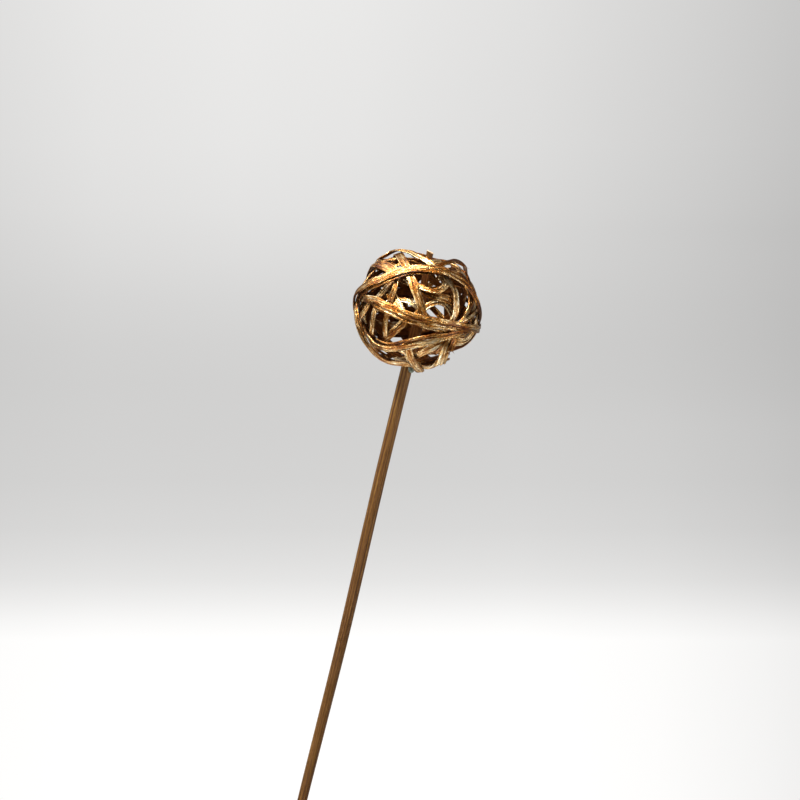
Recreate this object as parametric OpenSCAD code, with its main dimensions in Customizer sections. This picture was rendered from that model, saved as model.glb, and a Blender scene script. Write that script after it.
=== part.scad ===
// Floral pick: an open ball wound from flat split-vine strips on a slim wooden stem.
// Origin: centre of the stem's foot. The stem runs along +Z and the front faces -Y.

/* [Stem] */
// Overall length of the stem, foot to tip
stem_length = 200; // [120:5:300]
// Diameter of the stem where it enters the ball
stem_d = 3; // [2:0.1:5]
// Diameter of the straight foot that is pushed into the arrangement
foot_d = 2.4; // [1.6:0.1:4]
// Length of the straight foot
foot_length = 30; // [15:1:60]
// Height at which the stem reaches its full thickness
full_at = 118; // [60:1:160]
// Length of the whittled end inside and above the ball
whittle_length = 13; // [6:0.5:20]
// Thickness left by the whittling
whittle_t = 1.8; // [1:0.1:3]
// Sideways shift of the tip by the stem's slight bend
whittle_shift = 0.6; // [0:0.1:1.5]
// Height lost across the slanted cut at the tip
tip_slant = 0.8; // [0:0.1:2]

/* [Ball] */
// Diameter of the wound ball
ball_d = 33.5; // [25:0.5:50]
// How far the stem's tip stands above the centre of the ball
tip_above_centre = 16; // [10:0.5:25]
// Sideways offset of the ball from the stem's axis
ball_offset = 0.8; // [0:0.1:3]
// Tilt of the winding on the stem
winding_tilt = 13.5; // [0:0.5:30]

/* [Strips] */
// Thickness of a strip
strip_t = 0.55; // [0.3:0.05:1]
// Width of the widest strips
broad_w = 3.1; // [2:0.1:4]
// Width of wide strips
wide_w = 2.3; // [1.5:0.1:3]
// Width of ordinary strips
strip_w = 1.8; // [1:0.1:2.5]
// Width of slim strips
slim_w = 1.5; // [0.8:0.1:2.2]
// Width of narrow strips
narrow_w = 1.2; // [0.6:0.1:2]
// Width of the finest strips
fine_w = 1; // [0.5:0.1:1.6]

/* [Glue] */
// Diameter of the glue bead under the ball
glue_d = 2.3; // [1.5:0.1:5]
// Offset of the bead to the right of the stem's axis
glue_side = 1; // [0:0.1:2]
// Offset of the bead to the front of the stem's axis
glue_front = 0.75; // [0:0.05:1.5]

/* [Hidden] */

ball_r = ball_d / 2;
ball_z = stem_length - tip_above_centre;
stem_fn = 48;
whittle_fn = 32;
// The whittled end is a hair slimmer than the stem and rooted inside it
whittle_d = stem_d - 0.06;
whittle_root = 0.5;
whittle_start = 0.8;
whittle_run = 3.2;
glue_sink = 1.5;
// Points along a strip between two stations
steps = 3;
// Outline of a strip across its width and thickness: flat faces with eased edges
section = [[-0.5, 0], [-0.4, 0.5], [0.4, 0.5], [0.5, 0], [0.4, -0.5], [-0.4, -0.5]];
gold = [0.72, 0.53, 0.22];
shade = [0.55, 0.38, 0.15];

// A station is [longitude from the front, latitude, height in percent of the radius, twist]
function at_station(p) = let (r = ball_r * p[2] / 100)
    [r * cos(p[1]) * sin(p[0]), -r * cos(p[1]) * cos(p[0]), r * sin(p[1]), len(p) > 3 ? p[3] : 0];
function blend(a, b, c, d, t) = 0.5 * (2 * b + (c - a) * t + (2 * a - 5 * b + 4 * c - d) * t * t
    + (3 * b - a - 3 * c + d) * t * t * t);
function centre_line(stations) = let (q = [for (p = stations) at_station(p)], n = len(q))
    [for (i = [0:n - 2]) for (k = [0:steps - 1])
        blend(q[max(i - 1, 0)], q[i], q[i + 1], q[min(i + 2, n - 1)], k / steps), q[n - 1]];
function xyz(p) = [p[0], p[1], p[2]];
function unit(v) = v / norm(v);
// One ring of section points round the centre line at sample i
function ring(line, i, w, t) = let (
    m = len(line) - 1,
    along = unit(xyz(line[min(i + 1, m)]) - xyz(line[max(i - 1, 0)])),
    side = unit(cross(along, xyz(line[i]))),
    out = cross(side, along),
    c = cos(line[i][3]),
    s = sin(line[i][3]))
    [for (q = section) xyz(line[i]) + (side * c + out * s) * q[0] * w + (out * c - side * s) * q[1] * t];

// A flat strip along its stations on the ball
module strip(w, stations, t = strip_t) {
    line = centre_line(stations);
    n = len(line);
    k = len(section);
    points = [for (i = [0:n - 1]) each ring(line, i, w, t)];
    sides = [for (i = [0:n - 2]) for (j = [0:k - 1])
        [i * k + j, i * k + (j + 1) % k, (i + 1) * k + (j + 1) % k, (i + 1) * k + j]];
    first = [for (j = [k - 1:-1:0]) j];
    last = [for (j = [0:k - 1]) (n - 1) * k + j];
    translate([-ball_offset, 0, ball_z])
        rotate([0, -winding_tilt, 0])
            polyhedron(points, concat([first], sides, [last]));
}

// Round stem: straight foot, slow widening, straight top and a whittled, slightly bent end
module stem() {
    straight_top = stem_length - whittle_length - full_at;
    color(shade)
        union() {
            cylinder(d = foot_d, h = foot_length, $fn = stem_fn);
            translate([0, 0, foot_length])
                cylinder(d1 = foot_d, d2 = stem_d, h = full_at - foot_length, $fn = stem_fn);
            translate([0, 0, full_at])
                cylinder(d = stem_d, h = straight_top, $fn = stem_fn);
            whittled_end();
        }
}

// The stem's top end, leaning to the left, with a long flat cut on its right side
module whittled_end() {
    base = stem_length - whittle_length;
    difference() {
        hull() {
            translate([0, 0, base - whittle_root])
                cylinder(d = whittle_d, h = whittle_root, $fn = whittle_fn);
            translate([-whittle_shift, 0, stem_length - whittle_root])
                cylinder(d = whittle_d, h = whittle_root, $fn = whittle_fn);
        }
        translate([0, stem_d, 0])
            rotate([90, 0, 0])
                linear_extrude(2 * stem_d)
                    polygon([[stem_d, base + whittle_start],
                        [whittle_t - stem_d / 2, base + whittle_run],
                        [whittle_t - stem_d / 2 - whittle_shift, stem_length - tip_slant],
                        [-stem_d / 2 - whittle_shift, stem_length],
                        [-stem_d, stem_length + whittle_root],
                        [stem_d, stem_length + whittle_root]]);
    }
}

// Bead of glue that sets the ball on the stem
module glue_bead() {
    color([0.5, 0.52, 0.42])
        difference() {
            translate([glue_side, -glue_front, ball_z - ball_r + glue_sink])
                sphere(d = glue_d, $fn = stem_fn);
            cylinder(d = stem_d, h = stem_length, $fn = stem_fn);
        }
}

module strip_upper_front() {
    color(gold)
        strip(wide_w, [[-112, -16, 94], [-102, -6, 96], [-93, 4, 98], [-84, 13, 100, 10],
            [-75, 18, 100, 10], [-56, 25, 100], [-40, 30, 100], [-26, 36, 100], [-11, 40, 100],
            [4, 40, 101], [19, 39, 101], [33, 36, 101], [45, 30, 101], [55, 23, 101], [63, 14, 101],
            [71, 5, 100], [80, -4, 99], [92, -16, 98], [114, -29, 98], [146, -38, 98],
            [180, -40, 97], [208, -36, 95], [232, -28, 93]]);
}

module strip_upper_under() {
    color(gold)
        strip(strip_w, [[-120, -20, 92], [-106, -10, 93], [-94, 0, 94], [-80, 10, 95],
            [-69, 17, 96], [-52, 23, 96], [-36, 28, 96], [-22, 34, 96], [-9, 38, 96], [8, 38, 96],
            [23, 38, 96], [39, 37, 96], [48, 38, 95], [66, 33, 95], [86, 22, 95], [112, 6, 95],
            [144, -10, 95], [180, -22, 95], [216, -24, 94], [240, -22, 92]]);
}

module strip_middle_upper() {
    color(gold)
        strip(strip_w, [[-112, 10, 92], [-94, 12, 93], [-75, 12, 94], [-59, 11, 96], [-47, 10, 96],
            [-38, 8, 98], [-31, 5, 98], [-21, 1, 98], [-12, -3, 99], [-3, -6, 99], [6, -8, 99],
            [15, -9, 99], [24, -11, 99], [36, -13, 99], [49, -15, 99], [66, -16, 99], [84, -17, 99],
            [104, -13, 98], [128, -3, 97], [154, 8, 97], [184, 15, 96], [214, 17, 95],
            [240, 14, 93]]);
}

module strip_middle_lower() {
    color(gold)
        strip(strip_w, [[-50, 8, 90], [-43, 4, 92], [-32, 0, 95], [-21, -4, 96], [-12, -8, 97],
            [-3, -10, 97], [6, -12, 97], [16, -14, 97], [28, -16, 97], [41, -18, 97], [57, -19, 96],
            [76, -20, 96], [98, -15, 96], [124, -2, 95], [150, 11, 95], [180, 22, 94],
            [208, 28, 93], [236, 27, 92], [258, 20, 91]]);
}

module strip_middle_third() {
    color(gold)
        strip(strip_w, [[-42, 22, 80], [-27, 10, 84], [-16, -2, 88], [-6, -9, 91], [4, -14, 93],
            [16, -17, 94], [28, -20, 94], [43, -22, 95], [60, -23, 96], [84, -22, 96],
            [90, -18, 95], [112, -7, 94], [134, 8, 94], [154, 25, 93], [174, 43, 92], [200, 56, 91],
            [235, 62, 91], [270, 57, 90]]);
}

module strip_lower_edge() {
    color(gold)
        strip(narrow_w, [[-70, -24, 90], [-57, -31, 92], [-41, -34, 96], [-28, -34, 98],
            [-15, -30, 100, -20], [-3, -27, 100, -20], [8, -25, 100], [18, -24, 100], [29, -23, 99],
            [41, -21, 98], [54, -20, 97], [66, -18, 96], [88, -8, 95], [112, 5, 95], [138, 15, 94],
            [168, 19, 94], [198, 15, 94], [228, 6, 94], [252, -5, 93], [274, -16, 92]]);
}

module strip_lower_front() {
    color(gold)
        strip(strip_w, [[-88, -18, 91], [-66, -27, 93], [-56, -34, 96], [-43, -37, 98],
            [-29, -38, 98], [-15, -36, 98], [0, -33, 98], [12, -31, 98], [24, -28, 98],
            [36, -25, 98], [49, -23, 98], [66, -22, 96], [76, -16, 95], [98, -12, 94],
            [124, -15, 94], [152, -15, 94], [182, -15, 93], [212, -14, 93], [242, -14, 92],
            [262, -17, 91]]);
}

module strip_lower_second() {
    color(gold)
        strip(wide_w, [[-58, -62, 86], [-24, -60, 88], [-3, -52, 91], [10, -44, 93], [21, -38, 94],
            [30, -33, 94], [40, -28, 93], [50, -16, 91], [66, -6, 91], [84, 6, 92], [104, 17, 92],
            [128, 22, 92], [154, 22, 92], [180, 20, 91], [204, 20, 91], [226, 12, 91],
            [242, -2, 91], [250, -20, 90], [254, -38, 89]]);
}

module strip_stem_cover() {
    color(gold)
        strip(wide_w, [[-17, -34, 90], [-15, -36, 94], [-12, -40, 96], [-11, -47, 98],
            [-8, -56, 98], [-1, -67, 98], [10, -76, 98]]);
}

module strip_left_rim() {
    color(gold)
        strip(wide_w, [[-196, 58, 91], [-160, 58, 92], [-132, 50, 93], [-113, 37, 94],
            [-102, 22, 95], [-94, 10, 97], [-79, 2, 99, 8], [-73, -7, 100, 15], [-71, -15, 100, 15],
            [-70, -24, 100, 12], [-68, -32, 100, 10], [-66, -41, 100, 8], [-62, -49, 100],
            [-57, -56, 98], [-43, -60, 96], [-25, -62, 96], [-7, -64, 96], [17, -70, 96],
            [39, -66, 97], [41, -55, 96], [37, -43, 95], [40, -34, 94], [47, -27, 92],
            [57, -22, 90], [62, -14, 88]]);
}

module strip_left_upright() {
    color(gold)
        strip(strip_w, [[-43, 10, 89], [-45, 6, 90], [-47, 2, 91], [-49, -5, 92], [-52, -13, 92],
            [-57, -21, 92], [-68, -30, 92], [-76, -38, 92], [-100, -50, 93], [-132, -50, 94],
            [-156, -44, 94], [-178, -34, 94], [-200, -20, 94], [-216, -3, 94], [-227, 15, 94],
            [-238, 33, 94], [-256, 50, 94]]);
}

module strip_left_shoulder() {
    color(gold)
        strip(broad_w, [[-27, 37, 92], [-36, 42, 96], [-50, 45, 98], [-68, 47, 100], [-92, 47, 99],
            [-108, 38, 97], [-124, 29, 96], [-138, 17, 96], [-150, 3, 96], [-162, -13, 96],
            [-173, -30, 96], [-184, -46, 96], [-200, -60, 94], [-232, -71, 92]]);
}

module strip_left_diagonal() {
    color(gold)
        strip(strip_w, [[-55, 7, 88], [-47, 15, 87], [-41, 22, 86], [-35, 30, 85], [-26, 38, 85],
            [-15, 45, 86], [2, 51, 87], [20, 58, 88], [55, 60, 88]]);
}

module strip_crown() {
    color(gold)
        strip(strip_w, [[-172, 14, 94], [-160, 30, 96], [-148, 42, 98], [-134, 50, 99, 5],
            [-105, 52, 100, 10], [-101, 60, 99, 16], [-104, 66, 100, 18], [-69, 72, 99, 15],
            [-44, 73, 97, 5], [-17, 69, 97], [0, 62, 97], [10, 56, 98], [17, 50, 98], [23, 45, 98],
            [30, 40, 94], [36, 34, 91], [41, 27, 90], [44, 19, 90], [44, 12, 90], [43, 4, 90],
            [42, -3, 90], [40, -10, 90], [35, -16, 90]]);
}

module strip_centre_steep() {
    color(gold)
        strip(wide_w, [[-105, 66, 88], [-77, 70, 94], [-33, 60, 95], [-20, 51, 95], [-14, 44, 94],
            [-10, 37, 93], [-6, 30, 92], [-3, 22, 91], [0, 15, 90], [2, 8, 90], [4, 1, 90],
            [6, -6, 89], [8, -13, 88]]);
}

module strip_inner_left() {
    color(gold)
        strip(slim_w, [[-25, 35, 90], [-25, 28, 90], [-26, 20, 89], [-28, 13, 88], [-30, 6, 87],
            [-32, -1, 86], [-35, -9, 86], [-38, -18, 86], [-41, -26, 86], [-43, -35, 87],
            [-45, -45, 87]]);
}

module strip_inner_short() {
    color(gold)
        strip(narrow_w, [[-34, 24, 78], [-27, 16, 80], [-21, 8, 82], [-16, 1, 84], [-11, -7, 85],
            [-4, -16, 85]]);
}

module strip_inner_level() {
    color(gold)
        strip(slim_w, [[-54, 1, 79], [-43, 7, 77], [-28, 12, 75, 20], [-16, 12, 74, 30],
            [-6, 8, 74, 30], [3, 0, 75, 20], [12, -9, 78], [21, -18, 82]]);
}

module strip_right_shoulder() {
    color(gold)
        strip(slim_w, [[12, 45, 94], [21, 46, 96], [31, 47, 98], [42, 49, 100], [56, 50, 101],
            [66, 50, 101, -30], [78, 48, 101, -30], [84, 43, 101, -20], [67, 36, 100], [68, 32, 98],
            [68, 27, 96], [67, 23, 94]]);
}

module strip_right_narrow() {
    color(gold)
        strip(fine_w, [[112, 58, 88], [88, 54, 90], [79, 45, 94], [64, 36, 95], [63, 28, 95],
            [63, 20, 95], [62, 12, 95], [58, 4, 96], [53, -2, 96], [48, -7, 98], [43, -12, 98],
            [39, -16, 97]]);
}

module strip_right_rim() {
    color(gold)
        strip(narrow_w, [[128, 38, 91], [116, 26, 92], [105, 14, 94], [95, 5, 96], [86, 0, 98],
            [71, -3, 99], [61, -6, 100], [53, -9, 100], [47, -12, 98], [42, -14, 95],
            [37, -15, 92]]);
}

module strip_right_knob() {
    color(gold)
        strip(wide_w, [[32, -28, 89], [41, -30, 92], [51, -32, 94], [62, -32, 96], [67, -27, 98],
            [70, -21, 98], [73, -15, 98], [73, -8, 98], [92, 0, 98], [112, 12, 97], [132, 29, 96],
            [156, 41, 96], [184, 45, 95], [214, 40, 94], [240, 28, 93]]);
}

module strip_curl() {
    color(gold)
        strip(strip_w, [[-21, 37, 76], [-9, 32, 79], [2, 27, 82], [9, 23, 84, 15], [17, 20, 86, 20],
            [25, 21, 86, 15], [32, 25, 86, 5], [36, 30, 86], [34, 35, 86], [29, 37, 85]]);
}

module strip_inner_wide() {
    color(gold)
        strip(wide_w, [[6, 24, 80], [14, 18, 80], [23, 15, 81], [32, 13, 82], [41, 8, 84],
            [48, 1, 86]]);
}

module strip_bottom_fan() {
    color(gold)
        strip(broad_w, [[54, -21, 90], [46, -26, 94], [39, -31, 96], [37, -38, 98], [39, -46, 98],
            [42, -53, 98], [46, -60, 99]]);
}

module strip_back_diagonal() {
    color(gold)
        strip(slim_w, [[-66, 50, 91], [-92, 50, 93], [-120, 44, 95], [-153, 36, 96], [-170, 25, 96],
            [177, 14, 96], [167, 4, 96], [154, -8, 96], [139, -17, 96], [121, -22, 95],
            [98, -20, 93], [86, -14, 91]]);
}

module strip_back_slant() {
    color(gold)
        strip(slim_w, [[-130, -18, 96], [-148, -7, 96], [-162, 2, 97], [-175, 12, 97],
            [170, 23, 97], [159, 30, 97], [144, 37, 96], [136, 42, 95], [112, 44, 94],
            [94, 40, 92]]);
}

module strip_back_upright() {
    color(gold)
        strip(strip_w, [[172, 70, 89], [149, 37, 92], [148, 24, 92], [148, 13, 92], [148, 1, 92],
            [148, -10, 92], [147, -22, 92], [148, -34, 92], [155, -48, 92]]);
}

module strip_back_belt() {
    color(gold)
        strip(wide_w, [[96, 34, 89], [112, 20, 90], [130, 5, 90], [146, -9, 90], [162, -17, 90],
            [182, -21, 90], [204, -22, 89], [224, -20, 89], [242, -10, 89], [256, 4, 89],
            [268, 20, 89]]);
}

module strip_back_top() {
    color(gold)
        strip(strip_w, [[214, 20, 90], [208, 36, 90], [196, 50, 90], [172, 58, 89], [146, 56, 88],
            [126, 47, 88], [110, 34, 88], [100, 18, 88], [96, 0, 88], [98, -18, 88], [106, -36, 86],
            [124, -50, 84]]);
}

module strip_back_low() {
    color(gold)
        strip(wide_w, [[112, -50, 85], [132, -58, 88], [160, -62, 91], [190, -60, 93],
            [214, -52, 93], [232, -40, 93], [247, -25, 92], [260, -8, 91], [272, 10, 90]]);
}

module strip_back_left() {
    color(gold)
        strip(strip_w, [[-84, 32, 89], [-98, 20, 90], [-110, 8, 91], [-121, -6, 91],
            [-132, -20, 91], [-142, -34, 91], [-154, -47, 90], [-168, -58, 89], [-196, -70, 88]]);
}

module strip_left_outer() {
    color(gold)
        strip(slim_w, [[-70, 62, 93], [-84, 52, 94], [-80, 40, 94], [-81, 33, 95], [-82, 26, 96],
            [-84, 18, 97], [-92, 6, 95], [-96, -8, 94], [-100, -24, 93], [-106, -40, 92],
            [-116, -54, 90]]);
}

module strip_left_slant() {
    color(gold)
        strip(slim_w, [[-55, 14, 88], [-57, 8, 90], [-59, 2, 92], [-63, -2, 94], [-71, -7, 95],
            [-90, -14, 95], [-100, -20, 94], [-112, -28, 93], [-126, -36, 92]]);
}

module strip_inner_slant() {
    color(gold)
        strip(narrow_w, [[0, -4, 84], [-7, -9, 85], [-14, -15, 86], [-22, -21, 87], [-33, -28, 88],
            [-47, -34, 89], [-70, -38, 90]]);
}

module strip_top_short() {
    color(gold)
        strip(narrow_w, [[-112, 50, 92], [-80, 51, 97], [-67, 55, 96], [-56, 58, 95],
            [-47, 61, 94]]);
}

module strip_back_crest() {
    color(gold)
        strip(strip_w, [[-178, 66, 92], [-170, 69, 94], [166, 63, 95], [154, 58, 94], [142, 55, 94],
            [126, 53, 94], [115, 47, 95], [104, 40, 95], [102, 28, 94], [106, 12, 93],
            [114, -6, 92], [124, -24, 90]]);
}

module strip_back_cross() {
    color(gold)
        strip(wide_w, [[-78, -10, 88], [-102, -1, 94], [-133, 2, 95], [-148, 1, 95], [-162, 0, 95],
            [-174, 0, 95], [174, 5, 95], [161, 14, 94], [145, 23, 94], [121, 32, 94], [88, 38, 94],
            [72, 42, 92]]);
}

module strip_back_steep() {
    color(gold)
        strip(wide_w, [[-92, 72, 88], [-138, 68, 89], [-169, 46, 92], [-165, 33, 93],
            [-165, 21, 93], [-165, 11, 93], [-167, 0, 93], [-169, -11, 93], [-172, -21, 93],
            [-177, -33, 92], [175, -44, 92], [166, -58, 92]]);
}

module strip_back_low_belt() {
    color(gold)
        strip(wide_w, [[78, -8, 89], [92, -17, 92], [116, -24, 95], [137, -27, 96], [153, -28, 96],
            [168, -27, 96], [-179, -24, 95], [-166, -20, 94], [-152, -17, 94], [-137, -12, 94],
            [-120, -6, 93], [-92, 4, 92], [-84, 14, 91]]);
}

module strip_back_foot() {
    color(gold)
        strip(strip_w, [[-84, -22, 91], [-98, -30, 92], [-105, -39, 95], [-115, -48, 95],
            [-132, -55, 95], [-153, -62, 95], [180, -66, 95], [156, -65, 93], [100, -58, 91]]);
}

module strip_back_rise() {
    color(gold)
        strip(strip_w, [[-158, -53, 90], [-176, -45, 91], [170, -37, 91], [159, -29, 91],
            [150, -20, 91], [141, -11, 91], [133, -1, 91], [124, 9, 91], [116, 21, 91],
            [104, 38, 90]]);
}

module strip_inner_low() {
    color(gold)
        strip(slim_w, [[-4, -7, 78], [4, -1, 79], [11, 4, 80], [18, 8, 80], [26, 9, 81],
            [33, 6, 82], [38, -1, 84], [42, -9, 86]]);
}

module strip_back_left_high() {
    color(gold)
        strip(wide_w, [[-74, -2, 88], [-86, 8, 89], [-104, 13, 90], [-120, 20, 90], [-129, 28, 90],
            [-131, 37, 90], [-130, 48, 89], [-134, 60, 88], [-152, 66, 87], [-176, 62, 86]]);
}

module strip_bottom_frayed() {
    color(gold)
        strip(wide_w, [[56, -21, 91], [48, -26, 94], [44, -32, 96], [42, -38, 98], [43, -43, 100]]);
}

module strip_inner_thin() {
    color(gold)
        strip(fine_w, [[-10, -4, 82], [-16, -10, 83], [-24, -17, 84], [-34, -24, 84],
            [-49, -32, 84]]);
}

module strip_top_bit() {
    color(gold)
        strip(fine_w, [[-45, 44, 92], [-36, 47, 92], [-29, 51, 92], [-21, 52, 91]]);
}

module strip_back_left_cross() {
    color(gold)
        strip(wide_w, [[-95, -17, 96], [-123, -13, 95], [-140, -6, 94], [-151, 1, 94],
            [-161, 9, 94], [-170, 19, 93], [-174, 28, 93], [180, 35, 93], [170, 37, 93],
            [158, 38, 93]]);
}

stem();
glue_bead();
strip_upper_front();
strip_upper_under();
strip_middle_upper();
strip_middle_lower();
strip_middle_third();
strip_lower_edge();
strip_lower_front();
strip_lower_second();
strip_stem_cover();
strip_left_rim();
strip_left_upright();
strip_left_shoulder();
strip_left_diagonal();
strip_crown();
strip_centre_steep();
strip_inner_left();
strip_inner_short();
strip_inner_level();
strip_right_shoulder();
strip_right_narrow();
strip_right_rim();
strip_right_knob();
strip_curl();
strip_inner_wide();
strip_bottom_fan();
strip_back_diagonal();
strip_back_slant();
strip_back_upright();
strip_back_belt();
strip_back_top();
strip_back_low();
strip_back_left();
strip_left_outer();
strip_left_slant();
strip_inner_slant();
strip_top_short();
strip_back_crest();
strip_back_cross();
strip_back_steep();
strip_back_low_belt();
strip_back_foot();
strip_back_rise();
strip_inner_low();
strip_back_left_high();
strip_bottom_frayed();
strip_inner_thin();
strip_top_bit();
strip_back_left_cross();
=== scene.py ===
"""Floral pick: an open ball wound from gilded vine strips on a slim wooden stem.

Every length in the winding code is in millimetres round the ball's centre; to_frame() turns it
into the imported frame, which is in metres.
"""

import math

import bpy
import numpy as np
from mathutils import Matrix, Vector, kdtree


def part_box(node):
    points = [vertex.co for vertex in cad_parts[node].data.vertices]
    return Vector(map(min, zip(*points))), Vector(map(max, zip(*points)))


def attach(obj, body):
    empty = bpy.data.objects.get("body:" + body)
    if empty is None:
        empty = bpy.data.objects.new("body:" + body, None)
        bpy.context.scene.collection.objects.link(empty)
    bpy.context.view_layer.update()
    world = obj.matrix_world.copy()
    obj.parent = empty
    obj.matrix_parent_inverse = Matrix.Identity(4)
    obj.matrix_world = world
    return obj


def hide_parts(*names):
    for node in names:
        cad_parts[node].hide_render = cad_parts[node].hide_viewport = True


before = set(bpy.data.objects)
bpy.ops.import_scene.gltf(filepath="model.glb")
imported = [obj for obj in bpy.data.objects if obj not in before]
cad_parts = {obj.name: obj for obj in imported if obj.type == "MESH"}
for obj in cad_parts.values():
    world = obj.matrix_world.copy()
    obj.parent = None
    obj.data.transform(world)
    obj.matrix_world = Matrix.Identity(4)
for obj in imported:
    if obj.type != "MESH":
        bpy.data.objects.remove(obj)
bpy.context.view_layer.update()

MM = 0.001
# The ball and the stem, in millimetres, as in the CAD model
BALL_R = 16.75
TIP_ABOVE_CENTRE = 16.0
BALL_OFFSET = 0.8
TILT = math.radians(13.5)
STEM_D = 3.0
FOOT_D = 2.4
FOOT_LENGTH = 30.0
FULL_AT = 118.0
# Strip widths, in millimetres
BROAD = 3.1
WIDE = 2.3
PLAIN = 1.8
SLIM = 1.5
NARROW = 1.2
FINE = 1.0

stem_low, stem_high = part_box("stem")
STEM_LENGTH = (stem_high.z - stem_low.z) / MM
BALL_Z = STEM_LENGTH - TIP_ABOVE_CENTRE

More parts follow.
